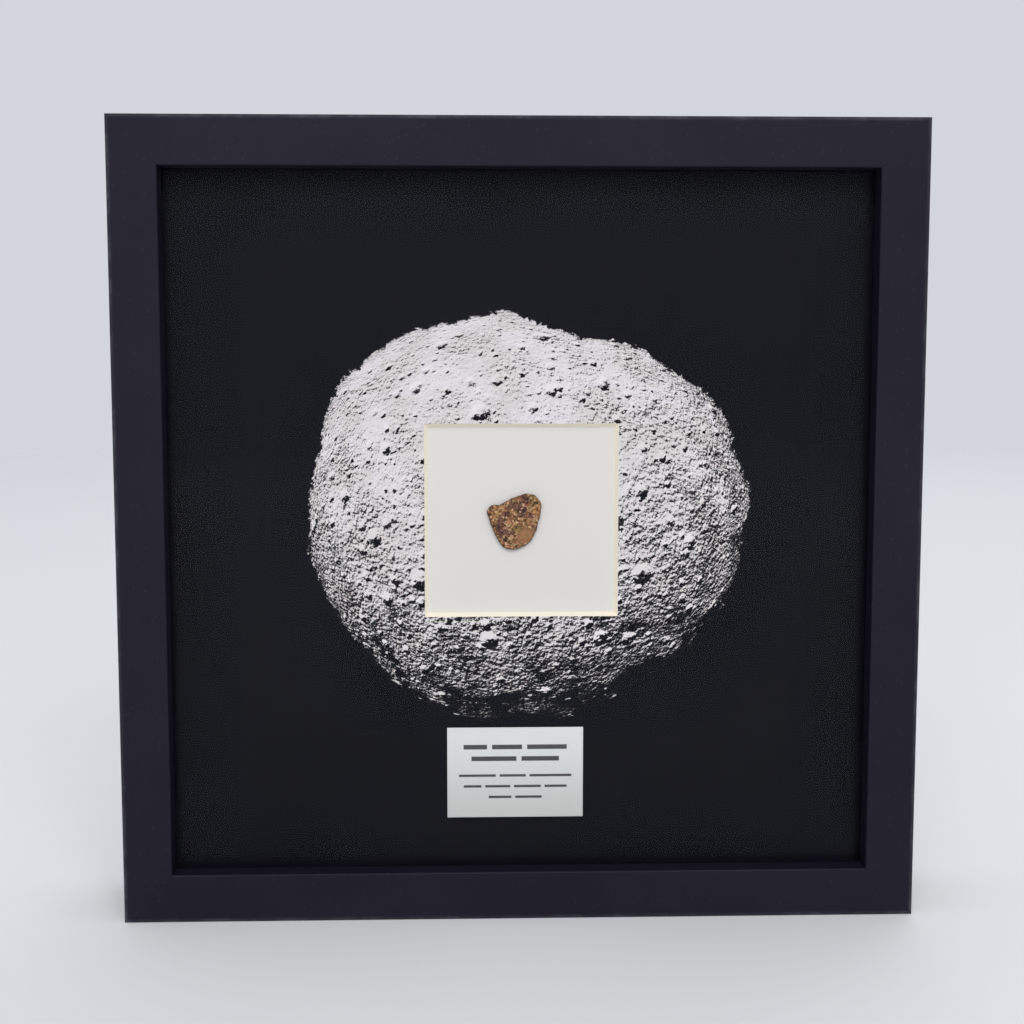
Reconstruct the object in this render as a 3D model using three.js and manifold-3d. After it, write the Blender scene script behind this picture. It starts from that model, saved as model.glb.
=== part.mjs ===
// A thin slice of an achondrite meteorite in a square box frame, behind glass and a printed mat.
//
// Millimetres, +Z up. X is to the right of someone who faces the picture, and the frame faces -Y.
// The origin is under the middle of the frame, on the surface that it stands on.

import * as THREE from "three";
import { mergeVertices } from "three/addons/utils/BufferGeometryUtils.js";
import Module from "manifold-3d";

const solids = await Module();
solids.setup();

// The frame. A depth is measured back from the frame's front face, and an inset from its outer side.
const FRAME_SIDE = 250;
const FRAME_DEPTH = 45;
const FACE_WIDTH = 15.3;
const LIP_DEPTH = 7;
const WALL_THICKNESS = 7;
const OUTER_ARRIS = 0.8;
const SMALL_ARRIS = 0.4;

// The boards lie on the floor of the rabbet, one behind the other, with a little room at the sides and the top.
const BOARD_SIDE = 235;
const GLASS_THICKNESS = 2;
const CARD_THICKNESS = 0.5;
const MAT_THICKNESS = 1.75;
const BACKING_THICKNESS = 3;
const SPACER_DEPTH = 22.75;
const SPACER_THICKNESS = 4;
const SPACER_END_ROOM = 0.5;
const BACK_BOARD_THICKNESS = 3;

// The window is cut a little off the middle of the frame. Its bevel slopes in towards the back of the mat.
const WINDOW_SIDE = 61.1;
const WINDOW_BEVEL = 1.15;
const WINDOW_OFFSET = { x: 0.4, z: 1 };

const CARD_WIDTH = 43.4;
const CARD_HEIGHT = 29.2;
const CARD_FROM_WINDOW = { x: -2, z: -80.9 };

// The slice, with its outline as seen from the front, clockwise from the small lobe on its left.
const SLICE_THICKNESS = 1.625;
const SLICE_FROM_WINDOW = { x: -2.3, z: -0.4 };
const SLICE_RELIEF = 0.09;
const SLICE_STEPS = 84;
const SLICE_OUTLINE = [
  [-8.6, 3.1],
  [-8.2, 4.1],
  [-6.9, 5.4],
  [-4.8, 5.4],
  [-3.5, 5.9],
  [-1.9, 6.9],
  [0.3, 7.8],
  [2.5, 8.6],
  [4.6, 8.9],
  [6.7, 8.2],
  [8.1, 6.7],
  [8.6, 5.6],
  [8.4, 3.4],
  [8.0, 1.3],
  [7.4, -0.6],
  [7.2, -2.0],
  [5.7, -5.3],
  [3.9, -7.3],
  [1.8, -8.3],
  [-0.4, -8.9],
  [-2.7, -8.4],
  [-4.6, -6.6],
  [-6.2, -3.8],
  [-7.3, -1.1],
  [-8.1, 1.4],
];

// The steel points that hold the back board in, two to a rail.
const POINT_THICKNESS = 0.5;
const POINT_WIDTH = 8;
const POINT_FLAT = 8.5;
const POINT_LIP = 2.5;
const POINT_LIP_RISE = 1.2;
const POINT_FROM_MIDDLE = 62;

// The sawtooth hanger and its two rivets, near the top of the back board.
const HANGER_ABOVE_MIDDLE = 96;
const HANGER_LENGTH = 46;
const HANGER_HEIGHT = 9;
const HANGER_THICKNESS = 0.75;
const HANGER_RISE = 1.75;
const HANGER_RAISED_HALF = 12;
const HANGER_SLOPE = 2.5;
const TOOTH_COUNT = 9;
const TOOTH_PITCH = 2.4;
const TOOTH_HEIGHT = 1.8;
const RIVET_FROM_MIDDLE = 19;
const RIVET_HEAD_RADIUS = 2.8;
const RIVET_HEAD_HEIGHT = 1.1;
const RIVET_TAIL_RADIUS = 2.3;
const RIVET_TAIL_HEIGHT = 0.8;
const RIVET_SHANK_RADIUS = 1.25;
const RIVET_ROOM = 0.3;

// Depths of the stack, worked out from the thicknesses.
const GLASS_FRONT = LIP_DEPTH;
const CARD_FRONT = GLASS_FRONT + GLASS_THICKNESS;
const MAT_FRONT = CARD_FRONT + CARD_THICKNESS;
const BACKING_FRONT = MAT_FRONT + MAT_THICKNESS;
const SPACER_FRONT = BACKING_FRONT + BACKING_THICKNESS;
const BACK_BOARD_FRONT = SPACER_FRONT + SPACER_DEPTH;
const BACK_BOARD_BACK = BACK_BOARD_FRONT + BACK_BOARD_THICKNESS;

const HALF_SIDE = FRAME_SIDE / 2;
const RABBET_FLOOR = WALL_THICKNESS - HALF_SIDE;
const BOARD_MIDDLE = RABBET_FLOOR + BOARD_SIDE / 2;
const SIDES = ["bottom", "left", "top", "right"];

const finish = (color, roughness, metalness = 0) =>
  new THREE.MeshStandardMaterial({ color, roughness, metalness });

const charcoalFoil = finish(0x2b2932, 0.55);
const clearGlass = new THREE.MeshStandardMaterial({
  color: 0xf2f6f5,
  roughness: 0.03,
  transparent: true,
  opacity: 0.12,
});
const printedBoard = finish(0x1a1a20, 0.6);
const paleCard = finish(0xcdd1d2, 0.7);
const offWhiteBoard = finish(0xdcdad7, 0.85);
const greyBoard = finish(0x8d8a84, 0.9);
const hardboard = finish(0x6b4a31, 0.8);
const springSteel = finish(0x9a9ca0, 0.4, 1);
const brassPlate = finish(0xb08d4a, 0.4, 1);
const aluminium = finish(0xb9bbbe, 0.4, 1);
const ochreStone = finish(0x82603f, 0.7);

// Booleans on closed geometries.
function solidFrom(geometry) {
  const bare = geometry.clone();
  bare.deleteAttribute("normal");
  bare.deleteAttribute("uv");
  const merged = mergeVertices(bare);
  return new solids.Manifold(
    new solids.Mesh({
      numProp: 3,
      vertProperties: new Float32Array(merged.getAttribute("position").array),
      triVerts: new Uint32Array(merged.index.array),
    }),
  );
}

function cut(geometry, ...cutters) {
  let left = solidFrom(geometry);
  for (const cutter of cutters) left = left.subtract(solidFrom(cutter));
  const { vertProperties, triVerts } = left.getMesh();
  const result = new THREE.BufferGeometry();
  result.setAttribute("position", new THREE.BufferAttribute(vertProperties, 3));
  result.setIndex(new THREE.BufferAttribute(triVerts, 1));
  result.computeVertexNormals();
  return result;
}

function shapeOf(points) {
  return new THREE.Shape(points.map(([x, y]) => new THREE.Vector2(x, y)));
}

function extruded(points, length) {
  return new THREE.ExtrudeGeometry(shapeOf(points), {
    depth: length,
    bevelEnabled: false,
  });
}

// Extrudes a section of [depth, inset] points along X, with depth on Y, inset on Z and the middle at the origin.
function alongRail(section, length) {
  const geometry = extruded(section, length);
  geometry.translate(0, 0, -length / 2);
  const turn = new THREE.Matrix4().makeBasis(
    new THREE.Vector3(0, 1, 0),
    new THREE.Vector3(0, 0, 1),
    new THREE.Vector3(1, 0, 0),
  );
  return geometry.applyMatrix4(turn);
}

// One rail lies along X with its outer side down, and each end is shortened by its inset to make the mitre.
function railGeometry() {
  const section = [
    [OUTER_ARRIS, 0],
    [0, OUTER_ARRIS],
    [0, FACE_WIDTH - SMALL_ARRIS],
    [SMALL_ARRIS, FACE_WIDTH],
    [LIP_DEPTH, FACE_WIDTH],
    [LIP_DEPTH, WALL_THICKNESS],
    [FRAME_DEPTH, WALL_THICKNESS],
    [FRAME_DEPTH, SMALL_ARRIS],
    [FRAME_DEPTH - SMALL_ARRIS, 0],
  ];
  const geometry = alongRail(section, FRAME_SIDE);
  const place = geometry.getAttribute("position");
  for (let i = 0; i < place.count; i++)
    place.setX(i, Math.sign(place.getX(i)) * (HALF_SIDE - place.getZ(i)));
  geometry.computeVertexNormals();
  return geometry;
}

// A steel point lies flat on the back board, and its tip is bent up to be lifted with a finger.
function pointGeometry() {
  const tip = POINT_FLAT + POINT_LIP;
  const section = [
    [0, 0],
    [POINT_THICKNESS, 0],
    [POINT_THICKNESS, POINT_FLAT],
    [POINT_THICKNESS + POINT_LIP_RISE, tip],
    [POINT_LIP_RISE, tip + POINT_THICKNESS / 2],
    [0, POINT_FLAT + POINT_THICKNESS / 2],
  ];
  return alongRail(section, POINT_WIDTH);
}

// The window narrows from the print to the back of the mat.
function matGeometry() {
  const overshoot = 1;
  const slope = WINDOW_BEVEL / MAT_THICKNESS;
  const cornerRadius = (depth) => (WINDOW_SIDE / 2 - depth * slope) * Math.SQRT2;
  const cutter = new THREE.CylinderGeometry(
    cornerRadius(MAT_THICKNESS + overshoot),
    cornerRadius(-overshoot),
    MAT_THICKNESS + 2 * overshoot,
    4,
    1,
    false,
    Math.PI / 4,
  );
  cutter.translate(WINDOW_OFFSET.x, 0, WINDOW_OFFSET.z - BOARD_MIDDLE);
  return cut(new THREE.BoxGeometry(BOARD_SIDE, MAT_THICKNESS, BOARD_SIDE), cutter);
}

// Low relief of a sawn stone face, in millimetres above or below the saw cut.
function faceRelief(x, z) {
  const broad = Math.sin(0.9 * x + 0.6) * Math.cos(0.8 * z - 0.4);
  const fine = Math.sin(2.3 * x - 1.1 * z) * Math.cos(1.3 * x + 2.6 * z);
  return SLICE_RELIEF * (0.45 * broad + 0.55 * fine);
}

// The outline is shrunk ring by ring towards the middle of the front face, round the broken edge, and over the
// flat back.
function sliceGeometry() {
  const outline = new THREE.CatmullRomCurve3(
    SLICE_OUTLINE.map(([x, z]) => new THREE.Vector3(x, 0, z)),
    true,
  ).getSpacedPoints(SLICE_STEPS);
  const frontRings = [0, 0.14, 0.28, 0.42, 0.55, 0.67, 0.78, 0.87, 0.94];
  const profile = [
    ...frontRings.map((share) => [share, SLICE_RELIEF]),
    [0.985, 0.22],
    [1, 0.6],
    [0.985, 1.1],
    [0.955, SLICE_THICKNESS],
    [0, SLICE_THICKNESS],
  ].map(([share, depth]) => new THREE.Vector2(share, depth));
  const geometry = new THREE.LatheGeometry(profile, SLICE_STEPS);
  const place = geometry.getAttribute("position");
  for (let i = 0; i < place.count; i++) {
    const ring = i % profile.length;
    const rim = outline[Math.floor(i / profile.length) % SLICE_STEPS];
    const { x: share, y: depth } = profile[ring];
    const x = rim.x * share;
    const z = rim.z * share;
    const relief = ring < frontRings.length ? faceRelief(x, z) : 0;
    place.setXYZ(i, x, depth + relief, z);
  }
  geometry.computeVertexNormals();
  return geometry;
}

function rivetHole(x, z) {
  const length = 3 * BACK_BOARD_THICKNESS;
  const radius = RIVET_SHANK_RADIUS + RIVET_ROOM;
  return new THREE.CylinderGeometry(radius, radius, length, 24).translate(x, 0, z);
}

const rivetHoles = (z) => [rivetHole(-RIVET_FROM_MIDDLE, z), rivetHole(RIVET_FROM_MIDDLE, z)];

function backBoardGeometry() {
  const board = new THREE.BoxGeometry(BOARD_SIDE, BACK_BOARD_THICKNESS, BOARD_SIDE);
  return cut(board, ...rivetHoles(HANGER_ABOVE_MIDDLE - BOARD_MIDDLE));
}

// The strip is bent away from the board between its ends, and teeth are cut in the raised part's lower edge.
function hangerGeometry() {
  const end = HANGER_LENGTH / 2;
  const foot = HANGER_RAISED_HALF + HANGER_SLOPE;
  const path = [
    [-end, 0],
    [-foot, 0],
    [-HANGER_RAISED_HALF, HANGER_RISE],
    [HANGER_RAISED_HALF, HANGER_RISE],
    [foot, 0],
    [end, 0],
  ];
  const back = path.map(([x, depth]) => [x, depth + HANGER_THICKNESS]).reverse();
  const strip = extruded([...path, ...back], HANGER_HEIGHT);
  strip.translate(0, 0, -HANGER_HEIGHT / 2);

  const teeth = [[-(TOOTH_COUNT * TOOTH_PITCH) / 2, -1]];
  for (let i = 0; i < TOOTH_COUNT; i++) {
    const left = (i - TOOTH_COUNT / 2) * TOOTH_PITCH;
    teeth.push([left, 0], [left + TOOTH_PITCH / 2, TOOTH_HEIGHT]);
  }
  teeth.push([(TOOTH_COUNT * TOOTH_PITCH) / 2, 0]);
  teeth.push([(TOOTH_COUNT * TOOTH_PITCH) / 2, -1]);
  const saw = extruded(teeth, 4 * HANGER_RISE);
  saw.rotateX(Math.PI / 2);
  saw.translate(0, 3 * HANGER_RISE, -HANGER_HEIGHT / 2);
  return cut(strip, saw, ...rivetHoles(0));
}

// The shank starts at the inner face of the back board, and the head sits on the hanger.
function rivetGeometry() {
  const headFoot = BACK_BOARD_THICKNESS + HANGER_THICKNESS;
  const profile = [
    [0, -RIVET_TAIL_HEIGHT],
    [RIVET_TAIL_RADIUS, -RIVET_TAIL_HEIGHT],
    [RIVET_TAIL_RADIUS, 0],
    [RIVET_SHANK_RADIUS, 0],
    [RIVET_SHANK_RADIUS, headFoot],
    [RIVET_HEAD_RADIUS, headFoot],
  ];
  for (let step = 1; step <= 4; step++) {
    const angle = (step / 4) * (Math.PI / 2);
    const radius = step === 4 ? 0 : RIVET_HEAD_RADIUS * Math.cos(angle);
    profile.push([radius, headFoot + RIVET_HEAD_HEIGHT * Math.sin(angle)]);
  }
  const points = profile.map(([radius, depth]) => new THREE.Vector2(radius, depth));
  return new THREE.LatheGeometry(points, 24);
}

// Everything hangs in one group whose own origin is the middle of the frame's front face, with depth along Y.
const framedMeteorite = new THREE.Group();
const picture = new THREE.Group();
picture.position.set(0, -FRAME_DEPTH / 2, HALF_SIDE);
framedMeteorite.add(picture);

function add(name, geometry, material, x, depth, z, parent = picture) {
  const mesh = new THREE.Mesh(geometry, material);
  mesh.name = name;
  mesh.position.set(x, depth, z);
  parent.add(mesh);
}

function addBoard(name, width, thickness, height, material, x, front, z) {
  const board = new THREE.BoxGeometry(width, thickness, height);
  add(name, board, material, x, front + thickness / 2, z);
}

function addRails() {
  const rail = railGeometry();
  const point = pointGeometry();
  let pointNumber = 1;
  SIDES.forEach((side, quarter) => {
    const turned = new THREE.Group();
    turned.rotation.y = (quarter * Math.PI) / 2;
    picture.add(turned);
    add("frame_rail_" + side, rail, charcoalFoil, 0, 0, -HALF_SIDE, turned);
    for (const x of [-POINT_FROM_MIDDLE, POINT_FROM_MIDDLE]) {
      const name = "retaining_point_" + pointNumber++;
      add(name, point, springSteel, x, BACK_BOARD_BACK, RABBET_FLOOR, turned);
    }
  });
}

function addPicture() {
  const glassMiddle = GLASS_FRONT + GLASS_THICKNESS / 2;
  const pane = new THREE.BoxGeometry(BOARD_SIDE, GLASS_THICKNESS, BOARD_SIDE);
  add("glazing", pane, clearGlass, 0, glassMiddle, BOARD_MIDDLE);
  add("printed_mat", matGeometry(), printedBoard, 0, MAT_FRONT + MAT_THICKNESS / 2, BOARD_MIDDLE);

  const cardX = WINDOW_OFFSET.x + CARD_FROM_WINDOW.x;
  const cardZ = WINDOW_OFFSET.z + CARD_FROM_WINDOW.z;
  addBoard("label_card", CARD_WIDTH, CARD_THICKNESS, CARD_HEIGHT, paleCard, cardX, CARD_FRONT, cardZ);

  addBoard(
    "specimen_backing",
    BOARD_SIDE,
    BACKING_THICKNESS,
    BOARD_SIDE,
    offWhiteBoard,
    0,
    BACKING_FRONT,
    BOARD_MIDDLE,
  );

  const sliceX = WINDOW_OFFSET.x + SLICE_FROM_WINDOW.x;
  const sliceZ = WINDOW_OFFSET.z + SLICE_FROM_WINDOW.z;
  const sliceFront = BACKING_FRONT - SLICE_THICKNESS;
  add("meteorite_slice", sliceGeometry(), ochreStone, sliceX, sliceFront, sliceZ);
}

// The top and bottom strips run from side to side, and the side strips stand between them.
function addSpacers() {
  const sideLength = BOARD_SIDE - 2 * SPACER_THICKNESS - SPACER_END_ROOM;
  const reach = (BOARD_SIDE - SPACER_THICKNESS) / 2;
  const sideMiddle = RABBET_FLOOR + SPACER_THICKNESS + sideLength / 2;
  const strip = (side, width, height, x, z) =>
    addBoard("spacer_strip_" + side, width, SPACER_DEPTH, height, greyBoard, x, SPACER_FRONT, z);
  strip("bottom", BOARD_SIDE, SPACER_THICKNESS, 0, BOARD_MIDDLE - reach);
  strip("top", BOARD_SIDE, SPACER_THICKNESS, 0, BOARD_MIDDLE + reach);
  strip("left", SPACER_THICKNESS, sideLength, -reach, sideMiddle);
  strip("right", SPACER_THICKNESS, sideLength, reach, sideMiddle);
}

function addBack() {
  const boardMiddle = BACK_BOARD_FRONT + BACK_BOARD_THICKNESS / 2;
  add("back_board", backBoardGeometry(), hardboard, 0, boardMiddle, BOARD_MIDDLE);
  add("hanger_plate", hangerGeometry(), brassPlate, 0, BACK_BOARD_BACK, HANGER_ABOVE_MIDDLE);
  const rivet = rivetGeometry();
  for (const [side, x] of [
    ["left", -RIVET_FROM_MIDDLE],
    ["right", RIVET_FROM_MIDDLE],
  ])
    add("hanger_rivet_" + side, rivet, aluminium, x, BACK_BOARD_FRONT, HANGER_ABOVE_MIDDLE);
}

addRails();
addPicture();
addSpacers();
addBack();

export default framedMeteorite;
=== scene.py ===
# Looks of a framed meteorite slice: box frame, glass, printed mat, card, stone and back.
# Metres, +Z up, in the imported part's own frame: the picture faces -Y and the frame stands on z = 0.

import math

import bmesh
import bpy
from mathutils import Matrix, Vector, noise
from mathutils.kdtree import KDTree


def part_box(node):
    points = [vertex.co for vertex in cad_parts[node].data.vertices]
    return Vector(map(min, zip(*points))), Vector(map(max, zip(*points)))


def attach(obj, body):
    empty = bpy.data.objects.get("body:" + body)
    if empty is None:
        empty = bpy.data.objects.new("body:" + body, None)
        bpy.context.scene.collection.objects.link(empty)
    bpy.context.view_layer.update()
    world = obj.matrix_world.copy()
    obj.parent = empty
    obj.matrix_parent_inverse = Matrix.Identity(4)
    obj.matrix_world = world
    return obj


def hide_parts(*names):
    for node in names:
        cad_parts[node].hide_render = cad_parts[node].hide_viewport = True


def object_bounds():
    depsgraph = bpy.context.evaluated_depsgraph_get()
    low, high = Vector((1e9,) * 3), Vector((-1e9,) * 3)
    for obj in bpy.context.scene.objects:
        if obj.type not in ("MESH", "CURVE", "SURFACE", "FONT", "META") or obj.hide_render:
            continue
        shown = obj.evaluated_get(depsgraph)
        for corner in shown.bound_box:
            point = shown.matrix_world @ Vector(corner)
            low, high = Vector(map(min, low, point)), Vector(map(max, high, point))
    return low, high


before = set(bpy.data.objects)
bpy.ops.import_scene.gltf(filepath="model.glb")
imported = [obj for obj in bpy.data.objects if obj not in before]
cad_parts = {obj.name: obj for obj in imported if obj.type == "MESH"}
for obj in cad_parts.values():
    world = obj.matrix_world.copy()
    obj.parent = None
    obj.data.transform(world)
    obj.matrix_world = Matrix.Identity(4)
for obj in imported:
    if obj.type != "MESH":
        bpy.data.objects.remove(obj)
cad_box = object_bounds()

MM = 0.001
HAIR = 0.001 * MM
SIDES = ("bottom", "left", "top", "right")

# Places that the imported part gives.
FRAME_LOW, FRAME_HIGH = cad_box
FRONT = FRAME_LOW.y
REAR = FRAME_HIGH.y
HALF_SIDE = FRAME_HIGH.x
MIDDLE = Vector((0, 0, (FRAME_LOW.z + FRAME_HIGH.z) / 2))
FACE_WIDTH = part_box("frame_rail_bottom")[1].z
GLASS_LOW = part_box("glazing")[0]
WALL = GLASS_LOW.z
STONE_LOW, STONE_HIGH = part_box("meteorite_slice")
STONE_MIDDLE = (STONE_LOW + STONE_HIGH) / 2
BOARD_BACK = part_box("back_board")[1].y

# The window in the mat: its side at the print, how far its bevel slopes in, and its middle.
WINDOW_SIDE = 61.1 * MM
WINDOW_BEVEL = 1.15 * MM
WINDOW_MIDDLE = MIDDLE + Vector((0.4 * MM, 0, 1 * MM))


def srgb(red, green, blue):
    """A colour written as 0 to 255 on screen, as the linear colour that a shader takes."""

    def linear(part):
        share = part / 255
        return share / 12.92 if share <= 0.04045 else ((share + 0.055) / 1.055) ** 2.4

    return (linear(red), linear(green), linear(blue), 1.0)


class Value:
    """One socket of a finish. An expression on values adds its Math nodes."""

    def __init__(self, finish, socket):
        self.finish = finish
        self.socket = socket

    def other(self, output):
        return Value(self.finish, self.socket.node.outputs[output])

    def math(self, operation, *others):
        return self.finish.math(operation, self, *others)

    def __add__(self, other):
        return self.math("ADD", other)

    __radd__ = __add__

    def __sub__(self, other):
        return self.math("SUBTRACT", other)

    def __rsub__(self, other):
        return self.finish.math("SUBTRACT", other, self)

    def __mul__(self, other):
        return self.math("MULTIPLY", other)

    __rmul__ = __mul__

    def __truediv__(self, other):
        return self.math("DIVIDE", other)

    def __rtruediv__(self, other):
        return self.finish.math("DIVIDE", other, self)

    def __pow__(self, other):
        return self.math("POWER", other)

    def __abs__(self):
        return self.math("ABSOLUTE")

    def __lt__(self, other):
        return self.math("LESS_THAN", other)

    def __gt__(self, other):
        return self.math("GREATER_THAN", other)

    def least(self, other):
        return self.math("MINIMUM", other)

    def most(self, other):
        return self.math("MAXIMUM", other)

    def within(self, low, high):
        """0 below low, 1 above high and smooth between them. Low may be the larger, to turn it round."""
        settings = {"interpolation_type": "SMOOTHSTEP"}
        sockets = {"Value": self, "From Min": low, "From Max": high}
        return self.finish.make("ShaderNodeMapRange", settings, sockets)


class Finish:
    """A procedural material: one Principled shader and the nodes that feed it."""

    def __init__(self, name, **plain):
        self.material = bpy.data.materials.new(name)
        self.material.use_nodes = True
        self.tree = self.material.node_tree
        self.tree.nodes.clear()
        self.shader = self.make("ShaderNodeBsdfPrincipled", sockets=plain)
        self.make("ShaderNodeOutputMaterial", sockets={"Surface": self.shader})

    def make(self, kind, settings=None, sockets=None, output=0):
        node = self.tree.nodes.new(kind)
        for name, setting in (settings or {}).items():
            if name == "stops":
                self.set_stops(node.color_ramp, setting)
            else:
                setattr(node, name, setting)
        for key, content in (sockets or {}).items():
            self.fill(node.inputs[key], content)
        return Value(self, node.outputs[output]) if node.outputs else None

    def fill(self, socket, content):
        if isinstance(content, Value):
            self.tree.links.new(content.socket, socket)
        else:
            socket.default_value = content

    def set_stops(self, ramp, stops):
        while len(ramp.elements) > 1:
            ramp.elements.remove(ramp.elements[-1])
        for number, (position, color) in enumerate(stops):
            stop = ramp.elements[0] if number == 0 else ramp.elements.new(position)
            stop.position = position
            stop.color = color

    def feed(self, **sockets):
        """Links values to the shader's sockets, whose names are given with _ for a space."""
        for name, content in sockets.items():
            self.fill(self.shader.socket.node.inputs[name.replace("_", " ")], content)

    def math(self, operation, *parts):
        return self.make("ShaderNodeMath", {"operation": operation}, dict(enumerate(parts)))

    def vector(self, operation, *parts, output=0):
        return self.make("ShaderNodeVectorMath", {"operation": operation}, dict(enumerate(parts)), output)

    def scaled(self, vector, factor):
        return self.make("ShaderNodeVectorMath", {"operation": "SCALE"}, {0: vector, "Scale": factor})

    def split(self, vector):
        x = self.make("ShaderNodeSeparateXYZ", sockets={0: vector})
        return x, x.other("Y"), x.other("Z")

    def join(self, x, y, z):
        return self.make("ShaderNodeCombineXYZ", sockets={0: x, 1: y, 2: z})

    def place(self, middle=(0, 0, 0)):
        """Object coordinates in millimetres, from a middle given in metres."""
        here = self.make("ShaderNodeTexCoord", output="Object")
        return self.scaled(self.vector("SUBTRACT", here, tuple(middle)), 1 / MM)

    def mix(self, share, first, second):
        return self.make("ShaderNodeMix", {"data_type": "RGBA"}, {0: share, 6: first, 7: second}, 2)

    def noise(self, place, size, detail=2.0, roughness=0.5, flat=False, output=0):
        """Noise from about 0.3 to 0.7, with lumps about size millimetres wide. Flat noise reads X and Y."""
        settings = {"noise_dimensions": "2D" if flat else "3D"}
        sockets = {"Vector": place, "Scale": 1 / size, "Detail": detail, "Roughness": roughness}
        return self.make("ShaderNodeTexNoise", settings, sockets, output)

    def cells(self, place, size, flat=False):
        settings = {"voronoi_dimensions": "2D" if flat else "3D"}
        return self.make("ShaderNodeTexVoronoi", settings, {"Vector": place, "Scale": 1 / size}, "Distance")

    def ramp(self, factor, stops):
        return self.make("ShaderNodeValToRGB", {"stops": stops}, {0: factor})

    def bump(self, height, depth):
        """Depth is in millimetres, for a height that goes from 0 to 1."""
        sockets = {"Distance": depth * MM, "Height": height}
        self.feed(Normal=self.make("ShaderNodeBump", None, sockets))


# Finishes


def charcoal_foil():
    finish = Finish("charcoal_foil", **{"Specular IOR Level": 0.14})
    here = finish.place(MIDDLE)
    x, y, z = finish.split(here)
    cloud = finish.noise(here, 46, 2)
    grain = finish.noise(here, 0.5, 2, 0.6)
    specks = finish.cells(here, 2.6).within(0.16, 0.05)
    rubbed = finish.noise(here, 7, 3, 0.6).within(0.45, 0.68)
    half = HALF_SIDE / MM
    from_corner = half - abs(x).most(abs(z)) + (y - FRONT / MM)
    # Painted highlight: a lighter grey is mixed in along the outer front arris, patchy along its length.
    arris_highlight = from_corner.within(1.6, 0.3) * (0.35 + 0.65 * rubbed)
    mitre = abs(abs(x) - abs(z)).within(0.16, 0.05)
    dark = finish.mix(cloud.within(0.3, 0.7), srgb(22, 19, 32), srgb(26, 23, 36))
    flecked = finish.mix(specks * 0.25, dark, srgb(62, 61, 68))
    edge_highlighted = finish.mix(arris_highlight * 0.45, flecked, srgb(96, 94, 102))
    joined = finish.mix(mitre * 0.3, edge_highlighted, srgb(9, 9, 12))
    finish.feed(Base_Color=joined, Roughness=0.44 + 0.16 * grain - 0.03 * rubbed + 0.1 * mitre)
    finish.bump(grain + 0.25 * finish.noise(here, 1.7, 1) - 0.6 * mitre, 0.03)
    return finish


def clear_glass():
    return Finish(
        "clear_glass",
        **{"Base Color": (0, 0, 0, 1), "Roughness": 0.0, "Alpha": 0.06, "Specular IOR Level": 0.6},
    )


# The picture is a lump of rubble on black, lit from above. It has a shape and a layout of its own.
RUBBLE_RADIUS = 67.0
RUBBLE_MIDDLE = WINDOW_MIDDLE + Vector((-0.5 * MM, 0, 1.4 * MM))
RUBBLE_LIGHT = Vector((-0.16, 0.70, 0.68)).normalized()
PRINT_SHEEN = {"Specular IOR Level": 0.1, "Roughness": 0.55}
LIGHT_WAY = Vector((-0.40, 0.92, 0)).normalized()
MIDDLE_GREY = (0.5, 0.5, 0.5)


def rubble_outline(x, z):
    """How far out a point lies: 0 at the lump's middle and 1 on its outline."""
    finish = x.finish
    radius = (x * x + z * z + 0.01) ** 0.5
    c = x / radius
    s = z / radius
    reach = RUBBLE_RADIUS + 1.2 * c - 1.4 * s + 2.2 * (c * c - s * s) - 2.6 * (c * s)
    reach = reach + 1.5 * (s * (3 * (c * c) - s * s)) + 1.9 * (c * (c * c - 3 * (s * s)))
    uneven = finish.noise(finish.join(c * 2.6, s * 2.6, 0), 1.0, 2, flat=True)
    return radius / (reach + (uneven - 0.5) * 8)


def stones(place, size, share, low, high):
    """Domes of scattered stones: size apart, low to high of that in radius, on a share of the places."""
    finish = place.finish
    distance = finish.cells(place, size, flat=True)
    chance, width, _ = finish.split(distance.other("Color"))
    radius = (low + (high - low) * width) * (chance < share) + 0.0001
    reach = distance / radius
    return (1 - reach * reach).most(0)


def lit_side(height, place, step):
    """Light on a rough ground: above 0 where it faces the light, and below 0 where it turns away."""
    towards = place.finish.vector("ADD", place, tuple(LIGHT_WAY * step))
    return height(place) - height(towards)


def black_ink(finish, place):
    cloud = finish.noise(place, 34, 2).within(0.3, 0.7)
    return finish.mix(cloud, srgb(7, 7, 17), srgb(11, 11, 21))


def black_print():
    finish = Finish("black_print", **PRINT_SHEEN)
    here = finish.place(RUBBLE_MIDDLE)
    finish.feed(Base_Color=black_ink(finish, here))
    finish.bump(finish.noise(here, 0.6, 1), 0.002)
    return finish


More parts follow.
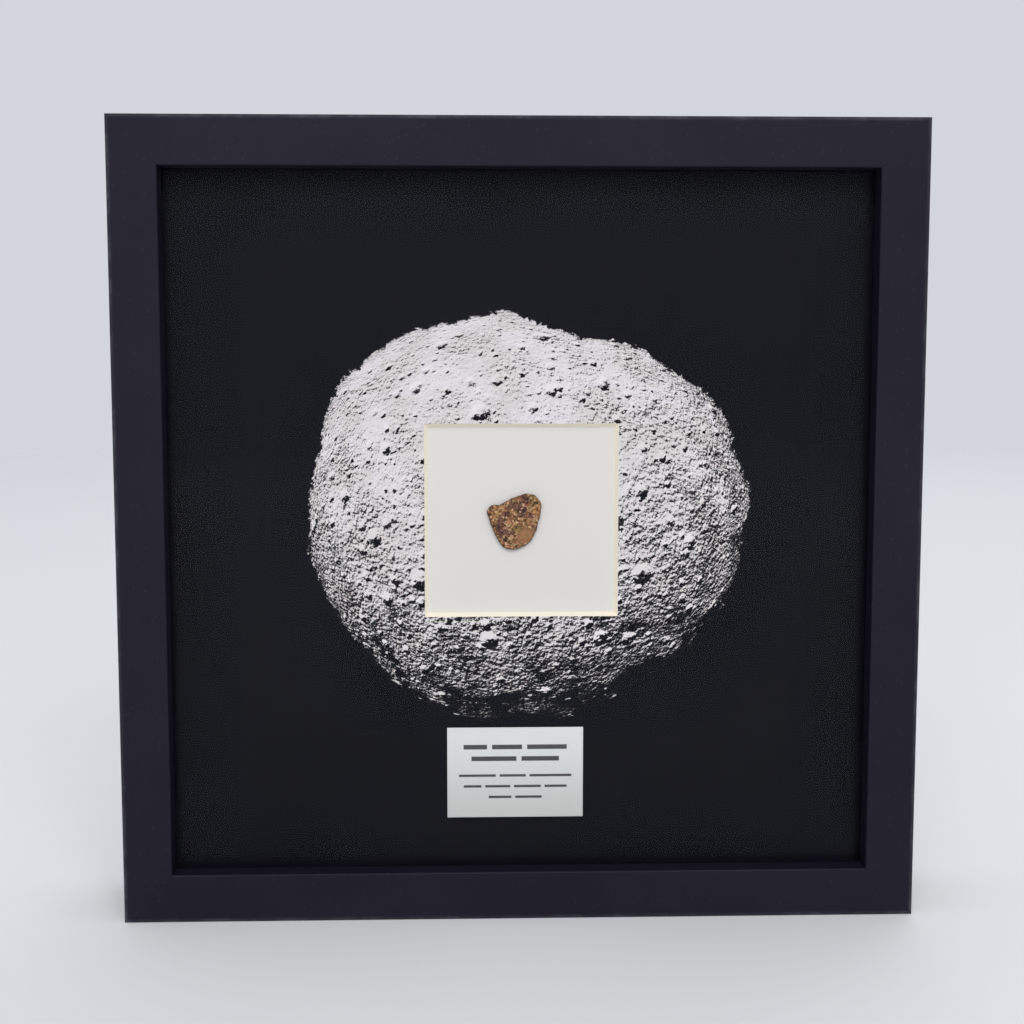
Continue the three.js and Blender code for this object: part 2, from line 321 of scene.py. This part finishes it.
def rubble_print():
    finish = Finish("rubble_print", **PRINT_SHEEN)
    here = finish.place(RUBBLE_MIDDLE)
    x, _, z = finish.split(here)
    flat = finish.join(x, z, 0)
    out = rubble_outline(x, z)
    turned = out.least(0.995)
    body = finish.scaled(flat, finish.math("ARCSINE", turned) / turned.most(0.01))
    crooked = finish.vector("SUBTRACT", finish.noise(body, 1.5, 2, flat=True, output="Color"), MIDDLE_GREY)
    ground = finish.vector("ADD", body, finish.scaled(crooked, 1.6))
    rough = finish.noise(body, 19, 2, flat=True).within(0.34, 0.62)

    lumps = lit_side(lambda at: finish.noise(at, 4.2, 5, 0.8, flat=True), body, 0.5)
    grains = lit_side(lambda at: 1 - finish.cells(at, 1.6, flat=True), ground, 0.5)
    rocks = lit_side(lambda at: stones(at, 5.5, 0.6, 0.09, 0.24), ground, 0.8)
    blocks = lit_side(lambda at: stones(at, 9.5, 0.5, 0.09, 0.22), ground, 1.0)
    boulders = lit_side(lambda at: stones(at, 19, 0.6, 0.08, 0.19), ground, 1.5)
    relief = 3.3 * lumps + (0.50 + 0.30 * rough) * grains + 0.85 * rocks + 1.1 * blocks + 1.3 * boulders

    depth = (1 - turned * turned) ** 0.5
    sideways = x * (RUBBLE_LIGHT.x / RUBBLE_RADIUS) + z * (RUBBLE_LIGHT.y / RUBBLE_RADIUS)
    facing = sideways + depth * RUBBLE_LIGHT.z
    uneven = finish.noise(body, 15, 3, 0.6, flat=True) - 0.5
    light = facing + 1.15 * uneven + (1.3 + 0.7 * rough) * relief
    lit = light.within(0.04, 0.50) * (facing + 1.3 * uneven + 0.25 * relief).within(-0.28, -0.10)

    edge = finish.noise(flat, 3.4, 4, 0.78, flat=True) - 0.5
    inside = (out + 0.085 * edge).within(1.0, 0.992)
    sheen = (0.74 + 0.34 * relief).within(0.30, 1.0)
    dusky = finish.mix(rough, (0.60, 0.570, 0.590, 1), (0.50, 0.465, 0.450, 1))
    pale = finish.mix(sheen, dusky, finish.mix(rough, (0.90, 0.860, 0.880, 1), (0.84, 0.795, 0.780, 1)))
    finish.feed(Base_Color=finish.mix(lit * inside, black_ink(finish, here), pale))
    finish.bump(finish.noise(here, 0.6, 1), 0.002)
    return finish


def mat_core():
    finish = Finish("mat_core", **{"Specular IOR Level": 0.2})
    here = finish.place()
    fibres = finish.noise(finish.vector("MULTIPLY", here, (1, 6, 1)), 0.4, 3, 0.6)
    core = finish.mix(fibres, srgb(255, 242, 218), srgb(255, 249, 232))
    finish.feed(Base_Color=core, Roughness=0.75 + 0.2 * fibres)
    finish.bump(fibres, 0.03)
    return finish


def off_white_board():
    finish = Finish("off_white_board", **{"Specular IOR Level": 0.2})
    here = finish.place()
    cloud = finish.noise(here, 25, 2)
    fibres = finish.noise(here, 0.7, 4, 0.65)
    paper = finish.mix(cloud, srgb(230, 227, 221), srgb(234, 231, 225))
    finish.feed(
        Base_Color=finish.mix((fibres - 0.5).most(0) * 0.5, paper, srgb(208, 205, 200)),
        Roughness=0.78 + 0.14 * fibres,
    )
    finish.bump(fibres, 0.02)
    return finish


# Each ruled line, in millimetres: its height above the card's middle, its thickness, and its bars' ends.
CARD_LINES = (
    (8.3, 1.5, ((-16.5, -9.0), (-7.4, 2.2), (3.8, 16.5))),
    (4.5, 1.5, ((-14.0, 0.4), (2.0, 14.0))),
    (-1.0, 0.8, ((-18.0, -6.2), (-5.0, 3.4), (4.6, 18.0))),
    (-4.5, 0.8, ((-16.5, -10.8), (-9.6, -1.6), (-0.4, 8.2), (9.4, 16.5))),
    (-8.0, 0.8, ((-8.5, -1.2), (0.0, 8.5))),
)


def ruled_card():
    """A pale cool card with plain ruled bars, two heavy and three fine."""
    finish = Finish("ruled_card", **{"Specular IOR Level": 0.3})
    low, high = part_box("label_card")
    here = finish.place((low + high) / 2)
    x, _, z = finish.split(here)
    fibres = finish.noise(here, 0.5, 3, 0.6)
    ink = None
    for height, thickness, bars in CARD_LINES:
        row = abs(z - height).within(thickness / 2 + 0.08, thickness / 2 - 0.08)
        marks = None
        for left, right in bars:
            bar = x.within(left - 0.1, left + 0.1) * x.within(right + 0.1, right - 0.1)
            marks = bar if marks is None else marks + bar
        ink = row * marks if ink is None else ink + row * marks
    # The paper is darker towards the bottom of the card and lighter towards its top, with a little fibre
    # mottling.
    lighter_upwards = z.within(-16, 14) + 0.2 * (fibres - 0.5)
    paper = finish.mix(lighter_upwards, srgb(208, 212, 207), srgb(234, 236, 234))
    finish.feed(Base_Color=finish.mix(ink * 0.92, paper, srgb(34, 35, 40)), Roughness=0.5 + 0.2 * fibres)
    finish.bump(fibres, 0.01)
    return finish


def hardboard():
    finish = Finish("hardboard", **{"Specular IOR Level": 0.3})
    here = finish.place()
    cloud = finish.noise(here, 35, 3, 0.6)
    fibres = finish.noise(finish.vector("MULTIPLY", here, (1, 1, 1.6)), 0.8, 4, 0.7)
    chips = finish.cells(finish.vector("MULTIPLY", here, (1, 1, 2.2)), 1.6).within(0.35, 0.1)
    brown = finish.mix(cloud.within(0.3, 0.7), srgb(122, 88, 58), srgb(133, 97, 65))
    mottled = finish.mix(fibres.within(0.35, 0.7) * 0.55, brown, srgb(88, 60, 38))
    finish.feed(
        Base_Color=finish.mix(chips * 0.16, mottled, srgb(168, 132, 94)),
        Roughness=0.5 + 0.3 * fibres,
    )
    finish.bump(fibres, 0.05)
    return finish


def grey_board():
    finish = Finish("grey_board", **{"Specular IOR Level": 0.2})
    here = finish.place()
    fibres = finish.noise(here, 0.6, 4, 0.65)
    grey = finish.mix(fibres, srgb(128, 125, 118), srgb(158, 154, 147))
    finish.feed(Base_Color=grey, Roughness=0.75 + 0.2 * fibres)
    finish.bump(fibres, 0.04)
    return finish


def worn_metal(name, bright, dull, drawn):
    """Rolled or plated metal, with fine lines along X or Z where drawn says so, and dull spots."""
    finish = Finish(name, Metallic=1.0)
    here = finish.place()
    lines = finish.noise(finish.vector("MULTIPLY", here, drawn), 0.25, 3, 0.6)
    spots = finish.noise(here, 2.6, 5, 0.55).within(0.40, 0.72)
    finish.feed(
        Base_Color=finish.mix(0.45 * spots + 0.25 * (lines - 0.4), bright, dull),
        Roughness=0.26 + 0.18 * lines + 0.16 * spots,
    )
    finish.bump(lines, 0.01)
    return finish


# Zones of the stone's face, in millimetres from the slice's middle: place, half widths and tilt in degrees.
MAROON_ZONES = (
    (3.1, 7.2, 1.4, 1.5, 0),
    (2.3, 3.9, 1.5, 2.3, 18),
    (-0.4, 5.2, 2.1, 0.9, 12),
    (-2.4, 2.6, 1.2, 0.9, 0),
    (-4.4, -0.7, 1.2, 2.8, -14),
    (-2.4, -3.3, 2.3, 0.9, -4),
    (5.3, 1.8, 1.1, 0.7, 30),
    (-7.5, 4.7, 0.8, 0.8, 0),
    (-2.8, -5.6, 0.8, 0.7, 0),
)
SMOOTH_ZONE = (3.6, -4.1, 2.8, 1.9, 36)
AMBER_ZONES = (
    (-5.9, 3.6, 1.7, 1.5, 0),
    (6.9, 3.4, 1.2, 1.8, 0),
)
OLIVE_ZONES = (
    (5.7, 6.9, 1.9, 1.4, -30),
    (-5.3, 2.2, 1.0, 0.9, 0),
    (0.8, -2.3, 1.5, 1.1, 0),
    (-0.4, 7.0, 0.9, 0.6, 20),
)


def zone(x, z, middle_x, middle_z, half_x, half_z, tilt):
    """1 inside a tilted oval, falling to 0 outside it."""
    turn = math.radians(tilt)
    along = (x - middle_x) * math.cos(turn) + (z - middle_z) * math.sin(turn)
    over = (z - middle_z) * math.cos(turn) - (x - middle_x) * math.sin(turn)
    return ((along / half_x) ** 2 + (over / half_z) ** 2).within(1.6, 0.7)


def any_of(masks):
    joined = masks[0]
    for mask in masks[1:]:
        joined = joined.most(mask)
    return joined


def ochre_stone():
    finish = Finish("ochre_stone", **{"Specular IOR Level": 0.2})
    here = finish.place(STONE_MIDDLE)
    shift = finish.vector("SUBTRACT", finish.noise(here, 0.9, 4, 0.7, output="Color"), MIDDLE_GREY)
    x, _, z = finish.split(finish.vector("ADD", here, finish.scaled(shift, 2.4)))
    crooked = finish.vector("ADD", here, finish.scaled(shift, 1.8))
    crystals = finish.cells(crooked, 0.8)
    shade, chance, hue = finish.split(crystals.other("Color"))
    fines = finish.cells(crooked, 0.36)
    fine_shade = finish.split(fines.other("Color"))[0]
    cloud = finish.noise(here, 2.2, 3, 0.6)
    threads = abs(finish.noise(crooked, 1.3, 2, 0.6) - 0.5).within(0.05, 0.012)

    maroon = any_of([zone(x, z, *spot) for spot in MAROON_ZONES])
    amber = any_of([zone(x, z, *spot) for spot in AMBER_ZONES])
    olive = any_of([zone(x, z, *spot) for spot in OLIVE_ZONES])
    smooth = (zone(x, z, *SMOOTH_ZONE) + 0.9 * (cloud - 0.5)).within(0.2, 0.95)
    calm = 1 - 0.8 * smooth
    grains = 0.63 * (shade - 0.5) + 0.53 * (fine_shade - 0.5) + 0.22 * threads
    tone = 0.475 + grains * (calm - 0.2 * maroon) + 0.65 * (cloud - 0.5) - 0.10 * maroon - 0.10 * olive
    ground = finish.ramp(
        tone,
        [
            (0.06, srgb(56, 34, 22)),
            (0.30, srgb(102, 67, 40)),
            (0.52, srgb(141, 99, 63)),
            (0.70, srgb(167, 122, 82)),
            (0.86, srgb(200, 156, 113)),
            (0.97, srgb(232, 196, 154)),
        ],
    )
    dusky = finish.ramp(
        tone,
        [
            (0.08, srgb(46, 26, 24)),
            (0.45, srgb(93, 58, 49)),
            (0.75, srgb(127, 86, 72)),
            (0.96, srgb(184, 142, 122)),
        ],
    )
    golden = finish.mix(tone.within(0.15, 0.9), srgb(104, 64, 28), srgb(198, 144, 86))
    greenish = finish.mix(tone.within(0.10, 0.9), srgb(72, 50, 26), srgb(176, 142, 88))
    tan = finish.mix(tone.within(0.15, 0.9), srgb(142, 100, 66), srgb(182, 136, 95))
    colour = finish.mix((hue > 0.82) * 0.45, ground, srgb(172, 104, 76))
    colour = finish.mix((hue < 0.16) * 0.45, colour, srgb(112, 96, 52))
    colour = finish.mix(amber * 0.6, colour, golden)
    colour = finish.mix(olive * 0.8, colour, greenish)
    colour = finish.mix(maroon * 0.95, colour, dusky)
    colour = finish.mix(smooth * 0.85, colour, tan)

    facet = (crystals + 0.3 * (fine_shade - 0.5)).within(0.5, 0.3)
    cream = (chance > 0.89) * facet * calm
    colour = finish.mix(cream * 0.8, colour, srgb(230, 198, 156))
    pits = (chance < 0.10) * facet * calm
    colour = finish.mix(pits * 0.85, colour, srgb(46, 28, 20))
    rind = finish.make("ShaderNodeAttribute", {"attribute_name": "rind"}, output="Fac")
    colour = finish.mix(rind * 0.75, colour, srgb(48, 34, 27))
    finish.feed(Base_Color=colour, Roughness=0.50 + 0.3 * cloud + 0.1 * fine_shade - 0.15 * cream)
    finish.bump(0.5 * fines + 0.5 * crystals, 0.10)
    return finish


FLOOR_RADIUS = 3.2


def pale_floor():
    """Matt pale floor that thins out towards its rim, so that it ends in the air without a line."""
    finish = Finish("pale_floor", **{"Specular IOR Level": 0.2, "Roughness": 0.7})
    out = finish.vector("LENGTH", finish.place(), output="Value") * (MM / FLOOR_RADIUS)
    finish.feed(Base_Color=(0.78, 0.78, 0.785, 1), Alpha=out.within(0.96, 0.35))
    return finish


# Pieces


LARGE_SHARE = 0.03
SHARP = math.radians(32)


def piece(name, shape, finishes, slot, *nodes):
    """Turns a bmesh into a piece of the object that stands for its CAD nodes. Its large faces stay flat."""
    bmesh.ops.remove_doubles(shape, verts=shape.verts, dist=HAIR)
    bmesh.ops.dissolve_degenerate(shape, edges=shape.edges, dist=HAIR)
    bmesh.ops.recalc_face_normals(shape, faces=shape.faces)
    large = LARGE_SHARE * sum(face.calc_area() for face in shape.faces)
    for face in shape.faces:
        face.smooth = face.calc_area() < large
    for edge in shape.edges:
        edge.smooth = edge.calc_face_angle(0) < SHARP
    mesh = bpy.data.meshes.new(name)
    shape.to_mesh(mesh)
    shape.free()
    made = bpy.data.objects.new(name, mesh)
    bpy.context.scene.collection.objects.link(made)
    for finish in finishes:
        mesh.materials.append(finish.material)
    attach(made, "root")
    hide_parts(*nodes)
    return made


def bevel(shape, edges, width, segments=3):
    return bmesh.ops.bevel(
        shape,
        geom=edges,
        offset=width,
        segments=segments,
        profile=0.5,
        affect="EDGES",
        material=-1,
    )


def edges_where(shape, test):
    return [edge for edge in shape.edges if test(*(vert.co for vert in edge.verts))]


def verts_of(items):
    return [item for item in items if isinstance(item, bmesh.types.BMVert)]


def edges_of(items):
    return [item for item in items if isinstance(item, bmesh.types.BMEdge)]


# A rail's section, as places on Y with their insets from the outer side, and the widths of its eased arrises.
RAIL_SECTION = (
    (FRONT, 0),
    (FRONT, FACE_WIDTH),
    (GLASS_LOW.y, FACE_WIDTH),
    (GLASS_LOW.y, WALL),
    (REAR, WALL),
    (REAR, 0),
)
RAIL_ARRISES = (
    (FRONT, 0, 0.9 * MM),
    (FRONT, FACE_WIDTH, 0.55 * MM),
    (REAR, 0, 0.6 * MM),
    (REAR, WALL, 0.4 * MM),
)


def rail(side, quarter):
    """A rail is extruded along X with its arrises rounded, mitred, and turned to its side of the frame."""
    shape = bmesh.new()
    corners = [shape.verts.new((-HALF_SIDE, y, inset)) for y, inset in RAIL_SECTION]
    end = shape.faces.new(corners)
    grown = bmesh.ops.extrude_face_region(shape, geom=[end])
    bmesh.ops.translate(shape, verts=verts_of(grown["geom"]), vec=(2 * HALF_SIDE, 0, 0))

    def runs_along(first, second, y, inset):
        straight = abs(first.x - second.x) > HALF_SIDE
        return straight and abs(first.y - y) < HAIR and abs(first.z - inset) < HAIR

    for y, inset, width in RAIL_ARRISES:
        bevel(shape, edges_where(shape, lambda a, b: runs_along(a, b, y, inset)), width, 4)
    for way in (-1, 1):
        cut = bmesh.ops.bisect_plane(
            shape,
            geom=[*shape.verts, *shape.edges, *shape.faces],
            plane_co=(way * HALF_SIDE, 0, 0),
            plane_no=(way, 0, 1),
            clear_outer=True,
        )
        bmesh.ops.edgenet_fill(shape, edges=edges_of(cut["geom_cut"]))
    turn = Matrix.Rotation(quarter * math.pi / 2, 3, "Y")
    bmesh.ops.rotate(shape, verts=shape.verts, cent=MIDDLE, matrix=turn)
    return piece("rail_" + side, shape, [CHARCOAL], "frame_finish", "frame_rail_" + side)


GLASS_ROOM = 0.03 * MM


def board(name, node, finish, slot, edge, clear=0.0):
    """A flat board with its edges eased, in the place of its node and clear of what lies behind it."""
    low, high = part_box(node)
    high.y -= clear
    shape = bmesh.new()
    bmesh.ops.create_cube(shape, size=1)
    bmesh.ops.scale(shape, verts=shape.verts, vec=high - low)
    bmesh.ops.translate(shape, verts=shape.verts, vec=(low + high) / 2)
    bevel(shape, shape.edges[:], edge, 2)
    return piece(name, shape, [finish], slot, node)


PICTURE_REACH = 75 * MM


def mat():
    """A square ring: its section is spun in four steps, and its window is then moved to its own middle.

    The picture has a square field of its own, and the rest of the front is plain black.
    """
    low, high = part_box("printed_mat")
    middle = (low + high) / 2
    half = (high.x - low.x) / 2
    opening = WINDOW_SIDE / 2
    shape = bmesh.new()
    section = [
        shape.verts.new(middle + Vector((math.sqrt(2) * reach, y - middle.y, 0)))
        for reach, y in (
            (opening, low.y),
            (half, low.y),
            (half, high.y),
            (opening - WINDOW_BEVEL, high.y),
        )
    ]
    loop = [shape.edges.new((vert, section[number - 3])) for number, vert in enumerate(section)]
    bmesh.ops.spin(
        shape,
        geom=[*section, *loop],
        cent=middle,
        axis=(0, 1, 0),
        angle=2 * math.pi,
        steps=4,
        use_merge=True,
    )
    bmesh.ops.rotate(shape, verts=shape.verts, cent=middle, matrix=Matrix.Rotation(math.pi / 4, 3, "Y"))
    window = [vert for vert in shape.verts if abs(vert.co.x - middle.x) < half - 1 * MM]
    bmesh.ops.translate(shape, verts=window, vec=WINDOW_MIDDLE - Vector((middle.x, 0, middle.z)))
    for way in (Vector((1, 0, 0)), Vector((-1, 0, 0)), Vector((0, 0, 1)), Vector((0, 0, -1))):
        bmesh.ops.bisect_plane(
            shape,
            geom=[*shape.verts, *shape.edges, *shape.faces],
            plane_co=RUBBLE_MIDDLE + way * PICTURE_REACH,
            plane_no=way,
        )
    bmesh.ops.recalc_face_normals(shape, faces=shape.faces)
    for face in shape.faces:
        away = face.calc_center_median() - RUBBLE_MIDDLE
        within = max(abs(away.x), abs(away.z)) < PICTURE_REACH
        face.material_index = (1 if within else 0) if face.normal.y < -0.9 else 2
    return piece("printed_mat_board", shape, [BLACK_PRINT, RUBBLE_PRINT, MAT_CORE], "print", "printed_mat")


def merged_copy(node):
    """A copy of a CAD node's mesh with its loose triangles joined."""
    shape = bmesh.new()
    shape.from_mesh(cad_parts[node].data)
    bmesh.ops.remove_doubles(shape, verts=shape.verts, dist=HAIR)
    return shape


def eased(name, node, finish, slot, edge):
    """A copy of a small metal part, with its sharp edges eased."""
    shape = merged_copy(node)
    bmesh.ops.dissolve_limit(shape, verts=shape.verts, edges=shape.edges, angle_limit=math.radians(1))
    bevel(shape, [side for side in shape.edges if side.calc_face_angle(0) > math.radians(40)], edge, 2)
    return piece(name, shape, [finish], slot, node)


def remeshed(name, node, size):
    """A copy of a CAD node's mesh, made of even small faces."""
    shape = merged_copy(node)
    mesh = bpy.data.meshes.new(name)
    shape.to_mesh(mesh)
    rough = bpy.data.objects.new(name, mesh)
    bpy.context.scene.collection.objects.link(rough)
    even = rough.modifiers.new("even", "REMESH")
    even.mode = "VOXEL"
    even.voxel_size = size
    shape.clear()
    shape.from_object(rough, bpy.context.evaluated_depsgraph_get())
    bpy.data.objects.remove(rough)
    bpy.data.meshes.remove(mesh)
    return shape


STONE_GRAIN = 0.13 * MM
STONE_BACK = STONE_HIGH.y - 0.2 * MM
RIM_SLOPE = 0.35
RIM_WIDTH = 0.6
RIND_WIDTH = 0.3


def stone():
    """The slice: small pits and crystal faces on the sawn front, and a rough dark rind round the edge."""
    shape = remeshed("stone_draft", "meteorite_slice", STONE_GRAIN)
    shape.normal_update()
    rim = [vert for vert in shape.verts if abs(vert.normal.y) < RIM_SLOPE]
    tree = KDTree(len(rim))
    for number, vert in enumerate(rim):
        tree.insert((vert.co.x, 0, vert.co.z), number)
    tree.balance()
    rind = shape.verts.layers.float.new("rind")
    moves = []
    for vert in shape.verts:
        here = (vert.co - STONE_MIDDLE) / MM
        from_rim = tree.find((vert.co.x, 0, vert.co.z))[2] / MM
        edge = max(0.0, 1 - from_rim / RIM_WIDTH)
        ragged = noise.noise(here * 0.7) + 0.5 * noise.noise(here * 1.7)
        facets = noise.noise(here * 2.6) + 0.6 * noise.noise(here * 5.3)
        pits = max(0.0, noise.noise(here * 1.9 + Vector((7, 3, 1))) - 0.25)
        push = 0.04 * facets + edge * (0.16 * ragged + 0.05 * facets) - 0.35 * pits * (1 - edge)
        vert[rind] = max(0.0, min(1.0, 0.9 + 0.9 * ragged - from_rim / RIND_WIDTH))
        flat_back = vert.co.y > STONE_BACK and vert.normal.y > 0.5
        moves.append(vert.normal * (0 if flat_back else push * MM))
    for vert, move in zip(shape.verts, moves):
        vert.co += move
    return piece("stone_slice", shape, [STONE], "meteorite", "meteorite_slice")


POINT_THICKNESS = 0.5 * MM
POINT_CORNER = 1.4 * MM

# How a point goes from its foot to its tip: each step's share of its reach and of its rise.
POINT_STEPS = ((0.76, 0), (0.10, 0.22), (0.14, 0.78))


def steel_point(number):
    """A bent steel tab that lies on the back board and points to the middle of the frame."""
    node = f"retaining_point_{number}"
    low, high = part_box(node)
    middle = (low + high) / 2
    away = middle - MIDDLE
    sideways = abs(away.x) > abs(away.z)
    if sideways:
        inward = Vector((-math.copysign(1, away.x), 0, 0))
        across = Vector((0, 0, 1))
    else:
        inward = Vector((0, 0, -math.copysign(1, away.z)))
        across = Vector((1, 0, 0))
    reach = abs((high - low).dot(inward))
    width = abs((high - low).dot(across))
    rise = high.y - BOARD_BACK - POINT_THICKNESS
    foot = middle - inward * reach / 2
    foot.y = BOARD_BACK
    shape = bmesh.new()
    row = [shape.edges.new([shape.verts.new(foot + across * width * share) for share in (-0.5, 0.5)])]
    for along, up in POINT_STEPS:
        grown = bmesh.ops.extrude_edge_only(shape, edges=row)["geom"]
        step = inward * reach * along + Vector((0, rise * up, 0))
        bmesh.ops.translate(shape, verts=verts_of(grown), vec=step)
        row = edges_of(grown)
    thick = bmesh.ops.extrude_face_region(shape, geom=shape.faces[:])
    bmesh.ops.translate(shape, verts=verts_of(thick["geom"]), vec=(0, POINT_THICKNESS, 0))
    tip = foot + inward * reach
    corners = edges_where(
        shape,
        lambda a, b: abs(a.x - b.x) + abs(a.z - b.z) < HAIR and abs((a - tip).dot(inward)) < 0.05 * MM,
    )
    bevel(shape, corners, POINT_CORNER, 5)
    bevel(shape, [edge for edge in shape.edges if edge.calc_face_angle(0) > 0.9], 0.08 * MM, 2)
    return piece(f"steel_point_{number}", shape, [STEEL], "steel", node)


CHARCOAL = charcoal_foil()
GLASS = clear_glass()
BLACK_PRINT = black_print()
RUBBLE_PRINT = rubble_print()
MAT_CORE = mat_core()
BACKING = off_white_board()
CARD = ruled_card()
HARDBOARD = hardboard()
SPACER = grey_board()
STEEL = worn_metal("spring_steel", srgb(196, 198, 202), srgb(128, 128, 130), (1, 1, 12))
BRASS = worn_metal("plated_brass", srgb(206, 168, 98), srgb(140, 108, 60), (12, 1, 1))
RIVET = worn_metal("rivet_aluminium", srgb(208, 210, 214), srgb(150, 150, 154), (1, 1, 1))
STONE = ochre_stone()


def floor():
    """A wide flat disc."""
    shape = bmesh.new()
    bmesh.ops.create_circle(shape, cap_ends=True, radius=FLOOR_RADIUS, segments=96)
    mesh = bpy.data.meshes.new("pale_disc")
    shape.to_mesh(mesh)
    shape.free()
    mesh.materials.append(pale_floor().material)
    disc = bpy.data.objects.new("pale_disc", mesh)
    bpy.context.scene.collection.objects.link(disc)


def soft_light(name, place, aim, width, height, power):
    lamp = bpy.data.lights.new(name, "AREA")
    lamp.shape = "RECTANGLE"
    lamp.size = width
    lamp.size_y = height
    lamp.energy = power
    holder = bpy.data.objects.new(name, lamp)
    holder.location = place
    holder.rotation_euler = (Vector(aim) - Vector(place)).to_track_quat("-Z", "Y").to_euler()
    bpy.context.scene.collection.objects.link(holder)


def studio():
    scene = bpy.context.scene
    scene.view_settings.view_transform = "Standard"
    sky = bpy.data.worlds.new("studio_air")
    sky.use_nodes = True
    sky.node_tree.nodes["Background"].inputs["Color"].default_value = (0.9, 0.93, 1.0, 1)
    sky.node_tree.nodes["Background"].inputs["Strength"].default_value = 0.72
    scene.world = sky
    soft_light("key_light", (0.08, -2.4, 1.9), MIDDLE, 2.2, 1.4, 50)
    soft_light("back_light", (0.9, 2.2, 2.1), MIDDLE, 2.2, 1.6, 12)


# The camera's place from the middle of the frame's front, its tilt and turn in degrees, and its lens.
CAMERA_PLACE = Vector((-18.1, -486.1, 54.4)) * MM
CAMERA_DOWN = 5.83
CAMERA_TURN = -1.79
CAMERA_LENS = 55.65


def camera():
    """The camera stands a little to the left of the frame's middle and above it, and looks slightly down."""
    lens = bpy.data.cameras.new("camera")
    lens.sensor_width = 36
    lens.lens = CAMERA_LENS
    lens.clip_start = 0.01
    holder = bpy.data.objects.new("camera", lens)
    holder.location = MIDDLE + Vector((0, FRONT, 0)) + CAMERA_PLACE
    holder.rotation_euler = (math.radians(90 - CAMERA_DOWN), 0, math.radians(CAMERA_TURN))
    bpy.context.scene.collection.objects.link(holder)
    bpy.context.scene.camera = holder


camera()
studio()
floor()
for quarter, side in enumerate(SIDES):
    rail(side, quarter)
    board("spacer_" + side, "spacer_strip_" + side, SPACER, "spacer", 0.3 * MM)
board("glass_pane", "glazing", GLASS, "clear_glass", 0.2 * MM, clear=GLASS_ROOM)
board("ruled_card", "label_card", CARD, "card", 0.08 * MM)
mat()
stone()
board("backing_board", "specimen_backing", BACKING, "backing", 0.2 * MM)
board("hardboard_back", "back_board", HARDBOARD, "hardboard", 0.35 * MM)
for number in range(1, 9):
    steel_point(number)
eased("sawtooth_hanger", "hanger_plate", BRASS, "hanger_brass", 0.12 * MM)
for side in ("left", "right"):
    eased("rivet_" + side, "hanger_rivet_" + side, RIVET, "rivet", 0.1 * MM)
